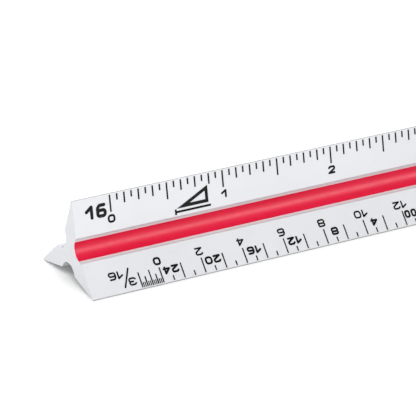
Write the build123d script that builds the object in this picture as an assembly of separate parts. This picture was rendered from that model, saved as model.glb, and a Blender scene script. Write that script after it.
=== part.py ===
"""Triangular scale ruler, 12 in, with three blades and six printed edges.

The ruler lies along X and rests on two of its blades, with the third one up.
Its front face looks towards -Y. Every length is in millimetres.
"""

from build123d import *
from math import cos, radians, sin
import os

# ---- driving dimensions -------------------------------------------------
INCH = 25.4
SCALE_SPAN = 12 * INCH        # graduated length, the same on all six edges
START_MARGIN = 8.2            # reading-left end of the ruler to the first graduation
END_MARGIN = 11.0             # last graduation to the reading-right end
LENGTH = START_MARGIN + SCALE_SPAN + END_MARGIN

FACE_WIDTH = 19.05            # tip edge to tip edge across one face (3/4 in)
TIP_FLAT = 0.35               # width of the blunt flat along each blade's edge
LIP_SHARE = 0.376             # where a wing ends and the groove begins, as a share of the face
LIP_DEPTH = 0.0966 * FACE_WIDTH
GROOVE_RADIUS = 0.130 * FACE_WIDTH
GROOVE_CENTRE_DEPTH = 0.062 * FACE_WIDTH
STRIP_HALF_ANGLE = 49         # degrees of groove arc that the colour strip covers, each way
STRIP_DEPTH = 0.40            # the strip sits in a channel this deep
STRIP_SETBACK = 0.06          # and its face lies this far below the groove's own surface
CHANNEL_END = 0.20            # the channel stops this far short of each end of the ruler

INK = 0.04                    # thickness of the printing
EDGE_GAP = 0.20               # from a blade's edge to the near end of a graduation
FULL_TICK = 3.10              # length of a graduation that bounds a whole unit
MIDDLE_TICK = 2.05
SHORT_TICK = 1.00
INCH_TICK = 3.35              # graduations of the full-size inch edge
EIGHTH_TICK = 2.10
SIXTEENTH_TICK = 1.25
BOLD_LINE = 0.34              # line widths
LINE = 0.27
FINE_LINE = 0.21

DIGIT_HEIGHT = 1.64
DIGIT_WIDTH = 1.66
DIGIT_GAP = 0.24
LONG_NUMBER_WIDTH = 1.30      # numerals of a three-figure number are narrower
LIGHT_PEN = 0.34              # stroke widths of the numerals
BOLD_PEN = 0.42
OUTER_ROW = 4.60              # depth of the numerals beyond the full ticks, to their middle
NUMBER_CLEARANCE = 4.00       # the nearest that a number comes to the other scale's zero
INNER_ROW = 2.42              # depth of the numerals that stand over the short ticks
TITLE_HEIGHT = 2.77           # the large numeral that names a whole-number scale
TITLE_WIDTH = 2.26
TITLE_PEN = 0.66
TITLE_GAP = 0.66
TITLE_ROW = 2.88
TITLE_CLEARANCE = 0.95        # between a title and the graduation beside it
FRACTION_CLEARANCE = 0.85
NUMERATOR_ROW = 1.81
DENOMINATOR_ROW = 3.62
DENOMINATOR_OFFSET = 2.30     # from the numerator's left side to the denominator's
SLASH_RUN = (0.93, 2.74)      # the slash's ends, from the numerator's left side
SLASH_DEPTH = (4.50, 1.00)    # and how far below the blade's edge they are

MARK_CENTRE = 0.715 * INCH    # the maker's mark, from the inch edge's zero
MARK_DEPTH = 4.60

# ---- star section -------------------------------------------------------
# A side frame has u along the face from one tip's edge to the other and v inwards.
HULL_SIDE = FACE_WIDTH + 2 * TIP_FLAT
CENTROID_HEIGHT = HULL_SIDE * sin(radians(60)) / 3
FACE_SLOPES = {"front": 60, "rear": -60, "base": 180}


def side_point(face, u, v):
    """Section point (y, z) of side-frame place (u, v) on the named face."""
    turn = radians(FACE_SLOPES[face])
    along = u - FACE_WIDTH / 2
    outward = CENTROID_HEIGHT - v
    y = along * cos(turn) - outward * sin(turn)
    z = along * sin(turn) + outward * cos(turn)
    return y, z + CENTROID_HEIGHT


def groove_point(face, angle, radius=GROOVE_RADIUS):
    """Point of the groove's arc, angle degrees from its deepest line."""
    u = FACE_WIDTH / 2 + radius * sin(radians(angle))
    v = GROOVE_CENTRE_DEPTH + radius * cos(radians(angle))
    return side_point(face, u, v)


def section_plane():
    """YZ plane at the ruler's left end, looking along +X."""
    return Plane(origin=(-LENGTH / 2, 0, 0), x_dir=(0, 1, 0), z_dir=(1, 0, 0))


def make_body():
    """White star-section moulding with a channel in each groove."""
    edges = []
    faces = ["front", "rear", "base"]
    for place, face in enumerate(faces):
        near_lip = side_point(face, LIP_SHARE * FACE_WIDTH, LIP_DEPTH)
        far_lip = side_point(face, (1 - LIP_SHARE) * FACE_WIDTH, LIP_DEPTH)
        start = side_point(face, 0, 0)
        end = side_point(face, FACE_WIDTH, 0)
        next_start = side_point(faces[(place + 1) % 3], 0, 0)
        edges.append(Line(start, near_lip))
        edges.append(ThreePointArc(near_lip, groove_point(face, 0), far_lip))
        edges.append(Line(far_lip, end))
        edges.append(Line(end, next_start))
    outline = make_face(Wire(edges))
    body = extrude(section_plane() * outline, LENGTH)
    for face in faces:
        body -= groove_band(face, GROOVE_RADIUS - STRIP_DEPTH)
    return body


def groove_band(face, top):
    """Band along the groove, between the arcs of radius top and of the channel's floor."""
    floor = GROOVE_RADIUS + STRIP_DEPTH
    reach = STRIP_HALF_ANGLE
    outer = [groove_point(face, angle, floor) for angle in (-reach, 0, reach)]
    inner = [groove_point(face, angle, top) for angle in (reach, 0, -reach)]
    band = make_face(Wire([
        ThreePointArc(*outer),
        Line(outer[2], inner[0]),
        ThreePointArc(*inner),
        Line(inner[2], outer[0]),
    ]))
    return Pos(CHANNEL_END, 0, 0) * extrude(section_plane() * band, LENGTH - 2 * CHANNEL_END)


# ---- numerals -----------------------------------------------------------
# Strokes on a unit box: places, a corner radius for each inner place, and how many of the
# stroke's ends are rounded. Radii are shares of the numeral's width.
HOOK = 0.26
BEND = 0.28
TIGHTEST_BEND = 0.55          # smallest corner radius, as a share of the pen's width
STROKES = {
    "1": [([(0.155, 0.6), (0.845, 1)], [], 2), ([(0.845, 1), (0.845, 0)], [], 2)],
    "2": [
        ([(0, 0.82), (0.2, 1), (1, 1), (1, 0.60), (0, 0)], [HOOK, 0.22, 0.18], 2),
        ([(0, 0), (1, 0)], [], 2),
    ],
    "3": [
        ([(0.02, 0.84), (0.2, 1), (1, 1), (1, 0.51), (0.4, 0.51)], [HOOK, 0.25, 0.2], 2),
        ([(0, 0.17), (0.2, 0), (1, 0), (1, 0.51), (0.4, 0.51)], [HOOK, 0.25, 0.2], 2),
    ],
    "4": [
        ([(0.78, 0), (0.78, 1)], [], 2),
        ([(0.78, 1), (0, 0.24)], [], 2),
        ([(0, 0.24), (1, 0.24)], [], 2),
    ],
    "5": [
        ([(0.95, 1), (0.08, 1)], [], 2),
        ([(0.08, 1), (0.08, 0.6)], [], 2),
        ([(0.08, 0.6), (1, 0.6), (1, 0), (0.2, 0), (0, 0.17)], [BEND, BEND, HOOK], 2),
    ],
    "6": [([(0.92, 1), (0.25, 1), (0, 0.75), (0, 0.26)], [0.34, 0.34], 1)],
    "7": [([(0, 1), (1, 1)], [], 2), ([(1, 1), (0.35, 0)], [], 2)],
}
# Rounded frames: their low and high lines as shares of the height, and the corner radius.
RINGS = {"0": [(0, 1, 0.35)], "6": [(0, 0.53, BEND)], "8": [(0, 0.54, 0.27), (0.54, 1, 0.24)]}
glyph_store = {}


def stroke(places, radii, pen, rounded_ends=2):
    """Line of the pen's width through the places, with its first ends rounded."""
    if radii:
        path = FilletPolyline(*places, radius=radii)
    else:
        path = Line(*places)
    shape = trace(path, pen)
    for end in (places[0], places[-1])[:rounded_ends]:
        shape += Pos(*end) * Circle(pen / 2)
    return shape


def ring(low, high, width, corner, pen):
    """Rounded frame of the pen's width, its middle line from low to high."""
    height = high - low
    inner_corner = min(corner - pen / 2, 0.45 * (height - pen))
    outer = RectangleRounded(width + pen, height + pen, inner_corner + pen)
    inner = RectangleRounded(width - pen, height - pen, inner_corner)
    return Pos(0, (low + high) / 2) * (outer - inner)


def glyph(character, width, height, pen):
    """Ink solid of one numeral, centred on the origin, with its foot on z = 0."""
    key = (character, width, height, pen)
    if key not in glyph_store and character == "9":
        glyph_store[key] = [Rot(0, 0, 180) * solid for solid in glyph("6", width, height, pen)]
    if key not in glyph_store:
        line_width = width - pen
        line_height = height - pen
        shape = Sketch()
        for low, high, corner in RINGS.get(character, []):
            shape += ring(
                (low - 0.5) * line_height, (high - 0.5) * line_height, line_width, corner * line_width, pen
            )
        for places, radii, rounded_ends in STROKES.get(character, []):
            drawn = [((x - 0.5) * line_width, (y - 0.5) * line_height) for x, y in places]
            bends = [max(radius * line_width, TIGHTEST_BEND * pen) for radius in radii]
            shape += stroke(drawn, bends, pen, rounded_ends)
        glyph_store[key] = extrude(shape, INK).solids()
    return glyph_store[key]


def advance(character, width):
    """Width that one numeral takes in a number."""
    return 0.80 * width if character == "1" else width


def number_width(text, width=DIGIT_WIDTH, gap=DIGIT_GAP):
    return sum(advance(character, width) for character in text) + gap * (len(text) - 1)


def number(text, x, depth, width=DIGIT_WIDTH, height=DIGIT_HEIGHT, pen=LIGHT_PEN, gap=DIGIT_GAP):
    """Solids of a number whose middle is at x, and at depth below the blade's edge."""
    if len(text) == 3:
        width = LONG_NUMBER_WIDTH
    solids = []
    left = x - number_width(text, width, gap) / 2
    for character in text:
        step = advance(character, width)
        for solid in glyph(character, width, height, pen):
            solids.append(Pos(left + step / 2, -depth, 0) * solid)
        left += step + gap
    return solids


# ---- graduations --------------------------------------------------------
def tick(x, length, line=LINE):
    """One graduation, from just inside the blade's edge towards the groove."""
    return Pos(x, -EDGE_GAP - length / 2, INK / 2) * Box(line, length, INK)


def subdivision(zero, outward, unit, parts):
    """Finely divided unit beyond a scale's zero: one foot in inches and their parts."""
    solids = []
    per_inch = parts / 12
    for step in range(1, parts + 1):
        length = 0.85 * SHORT_TICK
        if (step * 12) % parts == 0 or parts < 12:
            length = SHORT_TICK
        elif (step * 24) % parts == 0:
            length = 0.95 * SHORT_TICK
        if step * 4 % parts == 0 and parts >= 12:
            length = MIDDLE_TICK
        if step * 2 % parts == 0:
            length = FULL_TICK
        if per_inch > 1 and length == SHORT_TICK:
            length = 1.4 * SHORT_TICK
        line = LINE if length >= MIDDLE_TICK else FINE_LINE
        solids.append(tick(zero + outward * unit * step / parts, length, line))
    if unit >= INCH:
        for inches in (3, 6, 9):
            place = zero + outward * unit * inches / 12
            solids += number(str(inches), place, OUTER_ROW, pen=LIGHT_PEN)
    return solids


def fraction(top, bottom, left):
    """Diagonal fraction with its numerator's left side at left."""
    solids = number(top, left + number_width(top) / 2, NUMERATOR_ROW)
    low = (left + SLASH_RUN[0], -SLASH_DEPTH[0])
    high = (left + SLASH_RUN[1], -SLASH_DEPTH[1])
    solids += extrude(stroke([low, high], [], LIGHT_PEN), INK).solids()
    foot = left + DENOMINATOR_OFFSET + number_width(bottom) / 2
    solids += number(bottom, foot, DENOMINATOR_ROW)
    return solids


def title_width(title):
    """Length of a scale's title, such as 16, 3/32 or 1 1/2."""
    whole, top, bottom = title
    width = 0
    if whole:
        width += number_width(whole, TITLE_WIDTH, TITLE_GAP)
    if top:
        width += DENOMINATOR_OFFSET + number_width(bottom)
    if whole and top:
        width += DIGIT_GAP
    return width


def scale_title(title, left):
    """A scale's name in whole, numerator and denominator, from its left side."""
    whole, top, bottom = title
    solids = []
    if whole:
        width = number_width(whole, TITLE_WIDTH, TITLE_GAP)
        solids += number(
            whole, left + width / 2, TITLE_ROW, TITLE_WIDTH, TITLE_HEIGHT, TITLE_PEN, TITLE_GAP
        )
        left += width + DIGIT_GAP
    if top:
        solids += fraction(top, bottom, left)
    return solids


def inch_scale_print():
    """Full-size inches in sixteenths, with 16 as the edge's name."""
    solids = []
    for step in range(12 * 16 + 1):
        length = SIXTEENTH_TICK
        if step % 2 == 0:
            length = EIGHTH_TICK
        if step % 8 == 0:
            length = INCH_TICK
        solids.append(tick(START_MARGIN + step * INCH / 16, length, BOLD_LINE))
    for inches in range(13):
        place = START_MARGIN + inches * INCH
        solids += number(str(inches), place, OUTER_ROW + INCH_TICK - FULL_TICK, pen=BOLD_PEN)
    title = ("16", "", "")
    left = START_MARGIN - TITLE_CLEARANCE - title_width(title)
    return solids + scale_title(title, left)


def paired_scale_print(small, large, small_parts, large_parts, small_every, large_every, titles):
    """Two scales on one edge: the small one from the left, twice its size from the right.

    The long graduations are whole units of the large scale, counted back from its zero, and
    the short ones between them are the small scale's other units.
    """
    small_zero = START_MARGIN + small
    large_zero = START_MARGIN + SCALE_SPAN - large
    count = round((large_zero - small_zero) / small)
    solids = []
    for step in range(count + 1):
        length = SHORT_TICK if step % 2 else FULL_TICK
        if step == count:
            length = FULL_TICK
        solids.append(tick(large_zero - step * small, length))
    solids += subdivision(small_zero, -1, small, small_parts)
    solids += subdivision(large_zero, 1, large, large_parts)
    for units in range(0, count // 2 + 1, large_every):
        place = large_zero - units * large
        if place > small_zero + NUMBER_CLEARANCE:
            pen = LIGHT_PEN if units else BOLD_PEN
            solids += number(str(units), place, OUTER_ROW, pen=pen)
    solids += number("0", small_zero, OUTER_ROW, pen=BOLD_PEN)
    for units in range(small_every, count, small_every):
        text = str(units - 100) if units > 100 else str(units)
        solids += number(text, small_zero + units * small, INNER_ROW, pen=BOLD_PEN)
    clearances = [FRACTION_CLEARANCE if title[1] else TITLE_CLEARANCE for title in titles]
    left_end = START_MARGIN - clearances[0] - title_width(titles[0])
    right_end = START_MARGIN + SCALE_SPAN + clearances[1]
    solids += scale_title(titles[0], left_end)
    return solids + scale_title(titles[1], right_end)


def makers_mark():
    """Generic pictogram: a set square with its cut-out, standing on a straightedge."""
    corners = [(-3.6, -1.2), (3.6, -1.2), (3.6, 2.2)]
    middle = (2.28, 0.12)
    inset = [((x + middle[0]) / 2, (y + middle[1]) / 2) for x, y in corners]
    square = Polygon(*corners, align=None) - Polygon(*inset, align=None)
    bar = Pos(0, -1.85) * Rectangle(8.2, 0.42) + Pos(-3.9, -1.85) * Rectangle(0.42, 1.1)
    place = Pos(START_MARGIN + MARK_CENTRE, -MARK_DEPTH, 0)
    return [place * solid for solid in extrude(square + bar, INK).solids()]


# ---- placing the print on the wings -------------------------------------
def wing_plane(face, side):
    """Reading plane of a wing: x along the ruler, y towards the blade's edge, z outwards."""
    reading = 1 if side == "high" else -1
    edge_u = FACE_WIDTH if side == "high" else 0
    lip_u = (1 - LIP_SHARE) * FACE_WIDTH if side == "high" else LIP_SHARE * FACE_WIDTH
    edge = Vector(0, *side_point(face, edge_u, 0))
    lip = Vector(0, *side_point(face, lip_u, LIP_DEPTH))
    x_dir = Vector(reading, 0, 0)
    z_dir = x_dir.cross((edge - lip).normalized())
    origin = edge + Vector(-reading * LENGTH / 2, 0, 0)
    return Plane(origin=origin, x_dir=x_dir, z_dir=z_dir)


def place_print(solids, face, side):
    plane = wing_plane(face, side)
    return Compound([plane * solid for solid in solids])


def make_prints():
    """Each edge's printing, as its node's name and its solids in place."""
    eighth = INCH / 8
    return {
        "inch_16_print": place_print(inch_scale_print(), "front", "high"),
        "scale_3_32_3_16_print": place_print(
            paired_scale_print(
                3 * INCH / 32, 3 * INCH / 16, 6, 12, 4, 2, (("", "3", "32"), ("", "3", "16"))
            ),
            "front", "low",
        ),
        "scale_1_8_1_4_print": place_print(
            paired_scale_print(eighth, 2 * eighth, 6, 12, 4, 2, (("", "1", "8"), ("", "1", "4"))),
            "rear", "high",
        ),
        "scale_1_2_1_print": place_print(
            paired_scale_print(4 * eighth, INCH, 24, 48, 2, 1, (("", "1", "2"), ("1", "", ""))),
            "rear", "low",
        ),
        "scale_3_8_3_4_print": place_print(
            paired_scale_print(3 * eighth, 6 * eighth, 12, 24, 2, 1, (("", "3", "8"), ("", "3", "4"))),
            "base", "high",
        ),
        "scale_1_1_2_3_print": place_print(
            paired_scale_print(1.5 * INCH, 3 * INCH, 48, 96, 2, 1, (("1", "1", "2"), ("3", "", ""))),
            "base", "low",
        ),
        "makers_mark": place_print(makers_mark(), "front", "high"),
    }


# ---- write the parts ----------------------------------------------------
def main():
    nodes = {"ruler_body": make_body()}
    for face, colour in (("front", "red"), ("rear", "blue"), ("base", "black")):
        nodes[colour + "_strip"] = groove_band(face, GROOVE_RADIUS + STRIP_SETBACK)
    nodes.update(make_prints())
    os.makedirs("parts", exist_ok=True)
    for name, shape in nodes.items():
        export_step(shape, "parts/" + name + ".step")
        print(name, len(shape.solids()), round(shape.volume, 3), shape.bounding_box())


main()
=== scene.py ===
"""Looks of the triangular scale ruler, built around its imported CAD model.

Everything is in metres in the model's own frame: the ruler lies along X and stands on two of
its blades, and its front face looks towards -Y.
"""

from math import atan2, cos, pi, radians, sin

import bmesh
import bpy
from mathutils import Matrix, Vector


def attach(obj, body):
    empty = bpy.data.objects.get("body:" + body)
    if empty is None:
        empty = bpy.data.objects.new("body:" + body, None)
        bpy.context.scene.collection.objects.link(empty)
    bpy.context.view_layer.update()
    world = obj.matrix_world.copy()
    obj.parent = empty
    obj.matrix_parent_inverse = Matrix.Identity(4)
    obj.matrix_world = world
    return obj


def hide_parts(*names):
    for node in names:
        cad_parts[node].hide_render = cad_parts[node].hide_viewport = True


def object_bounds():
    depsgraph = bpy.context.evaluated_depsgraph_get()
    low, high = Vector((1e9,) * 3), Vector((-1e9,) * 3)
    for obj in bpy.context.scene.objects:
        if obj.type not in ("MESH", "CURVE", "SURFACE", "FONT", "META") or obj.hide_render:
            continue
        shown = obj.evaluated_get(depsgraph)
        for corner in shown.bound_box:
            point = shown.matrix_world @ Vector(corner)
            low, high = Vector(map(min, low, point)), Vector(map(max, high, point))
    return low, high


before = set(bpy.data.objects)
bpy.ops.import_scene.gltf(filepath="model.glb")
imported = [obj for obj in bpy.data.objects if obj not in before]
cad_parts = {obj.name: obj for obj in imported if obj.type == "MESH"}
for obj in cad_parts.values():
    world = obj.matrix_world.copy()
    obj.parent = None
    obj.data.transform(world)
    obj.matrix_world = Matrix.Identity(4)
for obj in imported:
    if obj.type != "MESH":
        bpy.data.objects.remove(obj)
cad_low, cad_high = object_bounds()

# ---- sizes, repeated from the CAD model -------------------------------------
MM = 0.001
FACE_WIDTH = 19.05 * MM           # tip edge to tip edge across one face
TIP_FLAT = 0.35 * MM              # blunt flat along each blade's edge
LIP_SHARE = 0.376                 # where a wing ends and the groove begins
LIP_DEPTH = 0.0966 * FACE_WIDTH
GROOVE_RADIUS = 0.130 * FACE_WIDTH
GROOVE_CENTRE_DEPTH = 0.062 * FACE_WIDTH
STRIP_HALF_ANGLE = 49             # degrees of groove arc that a colour strip covers, each way
CENTROID_HEIGHT = (FACE_WIDTH + 2 * TIP_FLAT) * sin(radians(60)) / 3
FACE_SLOPES = {"front": 60, "rear": -60, "base": 180}

LEFT_END = cad_low.x
RIGHT_END = cad_high.x

# ---- sizes of the fine detail -----------------------------------------------
ARC_STEP = 3                      # degrees between the groove's section points
STATION_STEP = 27 * MM            # between the section's copies along the ruler
SMOOTH_ANGLE = 20                 # bends below this many degrees are shaded smooth
STRIP_SKIN = 0.10 * MM            # thickness of a colour band, thinner than the CAD strip
STRIP_SETBACK = 0.02 * MM         # its face lies this far below the groove's surface
CHANNEL_END = 0.20 * MM           # its channel stops this far short of each end
LIP_LINE_WIDTH = 0.11 * MM        # half width of the hairline along each lip
LIP_LINE_DEPTH = 0.18 * MM
EDGE_ROUNDING = 0.12 * MM         # of the outline of the sawn ends

# ---- camera: a long lens, low over the left end ------------------------------
CAMERA_AZIMUTH = -33.761
CAMERA_ELEVATION = 26.042
CAMERA_ROLL = 3.717
CAMERA_DISTANCE = 631.8 * MM
CAMERA_TARGET = Vector((LEFT_END + 31.108 * MM, 0, 8.840 * MM))
CAMERA_LENS = 280.28
SENSOR_WIDTH = 36

# ---- light --------------------------------------------------------------------
SURROUND = 0.64                   # even white surroundings
SURROUND_IN_GLOSS = 0.12          # as glossy surfaces reflect them, round the softboxes
FLOOR_REACH = 8                   # from the middle of the floor to each side
# each softbox's place, size and watts
HIGH_BOX = (-0.65, -0.55, 1.1), (0.9, 0.7), 9.8
FRONT_BOX = (-0.85, -0.85, 0.32), (0.7, 0.5), 2.9
REAR_BOX = (0.45, 1.0, 0.8), (1.0, 0.7), 9
GLOSS_BOX = (0.5, -1.0, 0.42), (0.9, 0.5), 21
REAR_BOX_AIM = (0, 0, 0.01)

# ---- material patterns and tones ------------------------------------------------
NOISE_MIDDLE = (0.3, 0.7)         # the part of a noise's range that is used
CLOUD_SCALE = 55
GLOSS_SCALE = 420
SKIN_SCALE = 5200
STREAK_SCALE = 900
STREAK_STRETCH = (0.06, 1, 1)     # draws the streaks out along the ruler
BAND_GLOSS_SCALE = 700
WEAR_SCALE = 2600
FLOOR_CLOUD_SCALE = 3
PLASTIC_SPECULAR = 0.30
BAND_SPECULAR = 0.2
INK_SPECULAR = 0.08
WHITE_TONES = (0.590, 0.596, 0.616), (0.612, 0.618, 0.638)
# darker grey copy of the white plastic for the blade-edge flats: painted shade for the dark line
# along the blade edges
EDGE_SHADE_TONES = (0.29, 0.29, 0.30), (0.38, 0.38, 0.39)
RED_TONES = (0.60, 0.002, 0.030), (0.65, 0.005, 0.042)
BLUE_TONES = (0.02, 0.07, 0.40), (0.03, 0.10, 0.48)
BLACK_TONES = (0.012, 0.012, 0.013), (0.02, 0.02, 0.022)
INK_STOPS = [
    (0.35, (0.002, 0.002, 0.0025)), (0.65, (0.004, 0.004, 0.0045)), (0.88, (0.03, 0.03, 0.031))
]
FLOOR_STOPS = [(0.3, (0.93, 0.93, 0.93)), (0.7, (0.94, 0.94, 0.94))]


# ---- section geometry ---------------------------------------------------------
def side_point(face, u, v):
    """Section point (y, z): u along the named face from its first tip, v inwards."""
    turn = radians(FACE_SLOPES[face])
    along = u - FACE_WIDTH / 2
    outward = CENTROID_HEIGHT - v
    y = along * cos(turn) - outward * sin(turn)
    z = along * sin(turn) + outward * cos(turn)
    return Vector((y, z + CENTROID_HEIGHT))


def groove_point(face, angle, radius=GROOVE_RADIUS):
    """Point of the groove's arc, angle degrees from its deepest line."""
    u = FACE_WIDTH / 2 + radius * sin(radians(angle))
    v = GROOVE_CENTRE_DEPTH + radius * cos(radians(angle))
    return side_point(face, u, v)


def lip_angle():
    """Angle of the lip on the groove's arc, from the deepest line."""
    across = (0.5 - LIP_SHARE) * FACE_WIDTH
    return 180 / pi * atan2(across, LIP_DEPTH - GROOVE_CENTRE_DEPTH)


def spread(first, last, step):
    """Evenly spaced numbers from first to last, about step apart."""
    count = max(1, round(abs(last - first) / step))
    return [first + (last - first) * i / count for i in range(count + 1)]


def face_profile(face):
    """Section points of one face from tip to tip, and the groove floor's first and last place."""
    reach = lip_angle()
    step_back = 180 / pi * LIP_LINE_WIDTH / GROOVE_RADIUS
    first_tip = side_point(face, 0, 0)
    last_tip = side_point(face, FACE_WIDTH, 0)
    first_lip = side_point(face, LIP_SHARE * FACE_WIDTH, LIP_DEPTH)
    last_lip = side_point(face, (1 - LIP_SHARE) * FACE_WIDTH, LIP_DEPTH)
    inwards = side_point(face, 0, LIP_LINE_DEPTH) - first_tip
    wall = spread(STRIP_HALF_ANGLE, reach - step_back, ARC_STEP)
    points = [first_tip]
    points.append(first_lip - (first_lip - first_tip).normalized() * LIP_LINE_WIDTH)
    points.append(first_lip + inwards)
    points += [groove_point(face, -angle) for angle in reversed(wall)]
    floor_start = len(points) - 1
    points += [groove_point(face, angle) for angle in strip_angles()[1:-1]]
    floor_end = len(points)
    points += [groove_point(face, angle) for angle in wall]
    points.append(last_lip + inwards)
    points.append(last_lip - (last_lip - last_tip).normalized() * LIP_LINE_WIDTH)
    points.append(last_tip)
    return points, floor_start, floor_end


def strip_angles():
    return spread(-STRIP_HALF_ANGLE, STRIP_HALF_ANGLE, ARC_STEP)


def strip_profile(face):
    """Closed section of a colour strip in its channel."""
    top = GROOVE_RADIUS + STRIP_SETBACK
    bottom = top + STRIP_SKIN
    points = [groove_point(face, angle, top) for angle in strip_angles()]
    return points + [groove_point(face, angle, bottom) for angle in reversed(strip_angles())]


# ---- meshes ---------------------------------------------------------------------
def bridge(mesh, near, far):
    """Quads between two closed loops of vertices."""
    size = len(near)
    for i in range(size):
        mesh.faces.new((near[i], near[(i + 1) % size], far[(i + 1) % size], far[i]))


def add_ring(mesh, x, profile):
    return [mesh.verts.new((x, point.x, point.y)) for point in profile]


def finish_mesh(mesh, name):
    """Turns the faces outwards, shades the gentle bends smooth and makes the object."""
    bmesh.ops.recalc_face_normals(mesh, faces=mesh.faces)
    for face in mesh.faces:
        face.smooth = True
    for edge in mesh.edges:
        edge.smooth = edge.calc_face_angle(0) < radians(SMOOTH_ANGLE)
    data = bpy.data.meshes.new(name)
    mesh.to_mesh(data)
    mesh.free()
    piece = bpy.data.objects.new(name, data)
    bpy.context.scene.collection.objects.link(piece)
    return piece


def channel_stations():
    return spread(LEFT_END + CHANNEL_END, RIGHT_END - CHANNEL_END, STATION_STEP)


def make_body():
    """White moulding: a plain section at each end, and between them one with the channels."""
    profile, floors = [], []
    for face in FACE_SLOPES:
        points, first, last = face_profile(face)
        floors.append((len(profile) + first, len(profile) + last))
        profile += points
    mesh = bmesh.new()
    weights = mesh.edges.layers.float.new("bevel_weight_edge")
    deep = GROOVE_RADIUS + STRIP_SETBACK + STRIP_SKIN
    plain_rings, channel_rings = [], []
    for x in [LEFT_END] + channel_stations() + [RIGHT_END]:
        plain_rings.append(add_ring(mesh, x, profile))
    for ring in plain_rings[1:-1]:
        loop, place = [], 0
        for face, (first, last) in zip(FACE_SLOPES, floors):
            floor = [groove_point(face, angle, deep) for angle in strip_angles()]
            channel = add_ring(mesh, ring[0].co.x, floor)
            loop += ring[place:first + 1] + channel
            place = last
            if ring in (plain_rings[1], plain_rings[-2]):
                mesh.faces.new(ring[first:last + 1] + list(reversed(channel)))
        channel_rings.append(loop + ring[place:])
    bridge(mesh, plain_rings[0], plain_rings[1])
    bridge(mesh, plain_rings[-2], plain_rings[-1])
    for near, far in zip(channel_rings, channel_rings[1:]):
        bridge(mesh, near, far)
    for ring in (plain_rings[0], plain_rings[-1]):
        for edge in mesh.faces.new(ring).edges:
            edge[weights] = 1
    unused = [vertex for vertex in mesh.verts if not vertex.link_faces]
    bmesh.ops.delete(mesh, geom=unused, context="VERTS")
    # the four-sided faces of the blade-edge flats take the second, darker material: painted shade
    # along the blade edges
    for face in mesh.faces:
        if len(face.verts) == 4 and all(is_tip(vertex.co) for vertex in face.verts):
            face.material_index = 1
    body = finish_mesh(mesh, "star_body")
    rounding = body.modifiers.new("edge_rounding", "BEVEL")
    rounding.width = EDGE_ROUNDING
    rounding.segments = 2
    rounding.limit_method = "WEIGHT"
    rounding.harden_normals = True
    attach(body, "root")
    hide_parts("ruler_body")
    return body


def is_tip(place):
    """Whether a section place is one of the six blade-edge corners."""
    corners = [side_point(face, u, 0) for face in FACE_SLOPES for u in (0, FACE_WIDTH)]
    return any((Vector((place.y, place.z)) - corner).length < TIP_FLAT / 10 for corner in corners)


def make_strip(face, colour):
    profile = strip_profile(face)
    mesh = bmesh.new()
    rings = [add_ring(mesh, x, profile) for x in channel_stations()]
    for near, far in zip(rings, rings[1:]):
        bridge(mesh, near, far)
    mesh.faces.new(rings[0])
    mesh.faces.new(rings[-1])
    strip = finish_mesh(mesh, colour + "_band")
    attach(strip, "root")
    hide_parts(colour + "_strip")
    return strip


# ---- materials --------------------------------------------------------------------
def new_material(name):
    material = bpy.data.materials.new(name)
    material.use_nodes = True
    nodes = material.node_tree.nodes
    return material, nodes, material.node_tree.links, nodes["Principled BSDF"]


def add_noise(nodes, links, coordinates, scale, detail=3.0, roughness=0.5):
    noise = nodes.new("ShaderNodeTexNoise")
    noise.inputs["Scale"].default_value = scale
    noise.inputs["Detail"].default_value = detail
    noise.inputs["Roughness"].default_value = roughness
    links.new(coordinates.outputs["Object"], noise.inputs["Vector"])
    return noise


def add_ramp(nodes, links, source, stops):
    """Colour ramp through stops of (place, colour)."""
    ramp = nodes.new("ShaderNodeValToRGB")
    elements = ramp.color_ramp.elements
    for element, (place, colour) in zip(elements, stops):
        element.position = place
        element.color = (*colour, 1)
    for place, colour in stops[len(elements):]:
        elements.new(place).color = (*colour, 1)
    links.new(source, ramp.inputs["Fac"])
    return ramp


def add_range(nodes, links, source, low, high):
    """Maps a noise's middle range onto low to high."""
    mapped = nodes.new("ShaderNodeMapRange")
    mapped.inputs["From Min"].default_value, mapped.inputs["From Max"].default_value = NOISE_MIDDLE
    mapped.inputs["To Min"].default_value = low
    mapped.inputs["To Max"].default_value = high
    links.new(source, mapped.inputs["Value"])
    return mapped


def add_bump(nodes, links, source, shader, strength, distance):
    bump = nodes.new("ShaderNodeBump")
    bump.inputs["Strength"].default_value = strength
    bump.inputs["Distance"].default_value = distance
    links.new(source, bump.inputs["Height"])
    links.new(bump.outputs["Normal"], shader.inputs["Normal"])


def white_plastic(name, tone_low, tone_high):
    """Satin moulded plastic: faint cloudiness, a fine skin and a little uneven gloss."""
    material, nodes, links, shader = new_material(name)
    coordinates = nodes.new("ShaderNodeTexCoord")
    cloud = add_noise(nodes, links, coordinates, CLOUD_SCALE, 4)
    tone = add_ramp(
        nodes, links, cloud.outputs["Fac"], [(0.30, tone_low), (0.70, tone_high)]
    )
    links.new(tone.outputs["Color"], shader.inputs["Base Color"])
    gloss = add_noise(nodes, links, coordinates, GLOSS_SCALE, 5, 0.6)
    links.new(
        add_range(nodes, links, gloss.outputs["Fac"], 0.38, 0.50).outputs["Result"],
        shader.inputs["Roughness"],
    )
    skin = add_noise(nodes, links, coordinates, SKIN_SCALE, 2)
    add_bump(nodes, links, skin.outputs["Fac"], shader, 0.10, 0.02 * MM)
    shader.inputs["Specular IOR Level"].default_value = PLASTIC_SPECULAR
    return material


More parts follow.
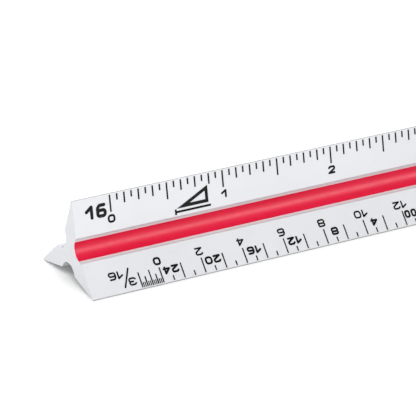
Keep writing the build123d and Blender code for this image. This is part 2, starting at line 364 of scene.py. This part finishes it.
def band_paint(name, deep, bright):
    """Satin coloured band: two close tones in drawn-out streaks, and soft gloss."""
    material, nodes, links, shader = new_material(name)
    coordinates = nodes.new("ShaderNodeTexCoord")
    stretch = nodes.new("ShaderNodeMapping")
    stretch.inputs["Scale"].default_value = STREAK_STRETCH
    links.new(coordinates.outputs["Object"], stretch.inputs["Vector"])
    streaks = nodes.new("ShaderNodeTexNoise")
    streaks.inputs["Scale"].default_value = STREAK_SCALE
    streaks.inputs["Detail"].default_value = 4
    links.new(stretch.outputs["Vector"], streaks.inputs["Vector"])
    tone = add_ramp(nodes, links, streaks.outputs["Fac"], [(0.30, deep), (0.70, bright)])
    links.new(tone.outputs["Color"], shader.inputs["Base Color"])
    gloss = add_noise(nodes, links, coordinates, BAND_GLOSS_SCALE, 3)
    links.new(
        add_range(nodes, links, gloss.outputs["Fac"], 0.40, 0.48).outputs["Result"],
        shader.inputs["Roughness"],
    )
    add_bump(nodes, links, streaks.outputs["Fac"], shader, 0.05, 0.02 * MM)
    shader.inputs["Specular IOR Level"].default_value = BAND_SPECULAR
    return material


def stamped_ink():
    """Hot-stamped black, a little thin in places."""
    material, nodes, links, shader = new_material("stamped_black_ink")
    coordinates = nodes.new("ShaderNodeTexCoord")
    wear = add_noise(nodes, links, coordinates, WEAR_SCALE, 5, 0.65)
    tone = add_ramp(nodes, links, wear.outputs["Fac"], INK_STOPS)
    links.new(tone.outputs["Color"], shader.inputs["Base Color"])
    links.new(
        add_range(nodes, links, wear.outputs["Fac"], 0.45, 0.60).outputs["Result"],
        shader.inputs["Roughness"],
    )
    add_bump(nodes, links, wear.outputs["Fac"], shader, 0.12, 0.01 * MM)
    shader.inputs["Specular IOR Level"].default_value = INK_SPECULAR
    return material


def pale_floor():
    material, nodes, links, shader = new_material("pale_floor")
    coordinates = nodes.new("ShaderNodeTexCoord")
    cloud = add_noise(nodes, links, coordinates, FLOOR_CLOUD_SCALE)
    tone = add_ramp(nodes, links, cloud.outputs["Fac"], FLOOR_STOPS)
    links.new(tone.outputs["Color"], shader.inputs["Base Color"])
    shader.inputs["Roughness"].default_value = 0.9
    shader.inputs["Specular IOR Level"].default_value = 0.0
    return material


def dress(piece, material):
    piece.data.materials.clear()
    piece.data.materials.append(material)


# ---- studio -----------------------------------------------------------------------
def make_floor():
    mesh = bpy.data.meshes.new("floor")
    signs = [(-1, -1), (1, -1), (1, 1), (-1, 1)]
    corners = [(FLOOR_REACH * across, FLOOR_REACH * along, 0) for across, along in signs]
    mesh.from_pydata(corners, [], [(0, 1, 2, 3)])
    floor = bpy.data.objects.new("floor", mesh)
    bpy.context.scene.collection.objects.link(floor)
    dress(floor, pale_floor())


def make_softbox(name, aim, place, size, power):
    light = bpy.data.lights.new(name, "AREA")
    light.shape = "RECTANGLE"
    light.size, light.size_y = size
    light.energy = power
    box = bpy.data.objects.new(name, light)
    box.location = place
    box.rotation_mode = "QUATERNION"
    box.rotation_quaternion = (Vector(aim) - Vector(place)).to_track_quat("-Z", "Y")
    bpy.context.scene.collection.objects.link(box)
    return box


def make_light():
    world = bpy.data.worlds.new("studio")
    bpy.context.scene.world = world
    world.use_nodes = True
    nodes, links = world.node_tree.nodes, world.node_tree.links
    path = nodes.new("ShaderNodeLightPath")
    lit = nodes["Background"]
    lit.inputs["Strength"].default_value = SURROUND
    for ray, strength in (("Is Glossy Ray", SURROUND_IN_GLOSS), ("Is Camera Ray", 1.0)):
        other = nodes.new("ShaderNodeBackground")
        other.inputs["Strength"].default_value = strength
        mix = nodes.new("ShaderNodeMixShader")
        links.new(path.outputs[ray], mix.inputs["Fac"])
        links.new(lit.outputs[0], mix.inputs[1])
        links.new(other.outputs["Background"], mix.inputs[2])
        lit = mix
    links.new(lit.outputs["Shader"], nodes["World Output"].inputs["Surface"])
    for node in nodes:
        if node.type == "BACKGROUND":
            node.inputs["Color"].default_value = (1, 1, 1, 1)
    make_softbox("high_box", CAMERA_TARGET, *HIGH_BOX)
    make_softbox("front_box", CAMERA_TARGET, *FRONT_BOX)
    make_softbox("rear_box", REAR_BOX_AIM, *REAR_BOX)
    gloss = make_softbox("gloss_box", CAMERA_TARGET, *GLOSS_BOX)
    gloss.visible_diffuse = False


def make_camera():
    azimuth, elevation = radians(CAMERA_AZIMUTH), radians(CAMERA_ELEVATION)
    back = Vector((sin(azimuth) * cos(elevation), -cos(azimuth) * cos(elevation), sin(elevation)))
    right = Vector((0, 0, 1)).cross(back).normalized()
    up = back.cross(right)
    roll = radians(CAMERA_ROLL)
    rolled_right = right * cos(roll) + up * sin(roll)
    rolled_up = up * cos(roll) - right * sin(roll)
    data = bpy.data.cameras.new("camera")
    data.lens = CAMERA_LENS
    data.sensor_width = SENSOR_WIDTH
    camera = bpy.data.objects.new("camera", data)
    bpy.context.scene.collection.objects.link(camera)
    turn = Matrix((rolled_right, rolled_up, back)).transposed()
    camera.matrix_world = Matrix.Translation(CAMERA_TARGET + back * CAMERA_DISTANCE) @ turn.to_4x4()
    bpy.context.scene.camera = camera


# ---- build ---------------------------------------------------------------------------
make_camera()
make_floor()
make_light()
bpy.context.scene.view_settings.view_transform = "Standard"

body = make_body()
body.data.materials.append(white_plastic("white_satin_plastic", *WHITE_TONES))
# second slot: the same white plastic in darker tones, painted shade along the blade-edge flats
body.data.materials.append(white_plastic("painted_shade_blade_edge", *EDGE_SHADE_TONES))
dress(make_strip("front", "red"), band_paint("red_band_paint", *RED_TONES))
dress(make_strip("rear", "blue"), band_paint("blue_band_paint", *BLUE_TONES))
dress(make_strip("base", "black"), band_paint("black_band_paint", *BLACK_TONES))
ink = stamped_ink()
for name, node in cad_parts.items():
    if name.endswith("_print") or name == "makers_mark":
        dress(node, ink)
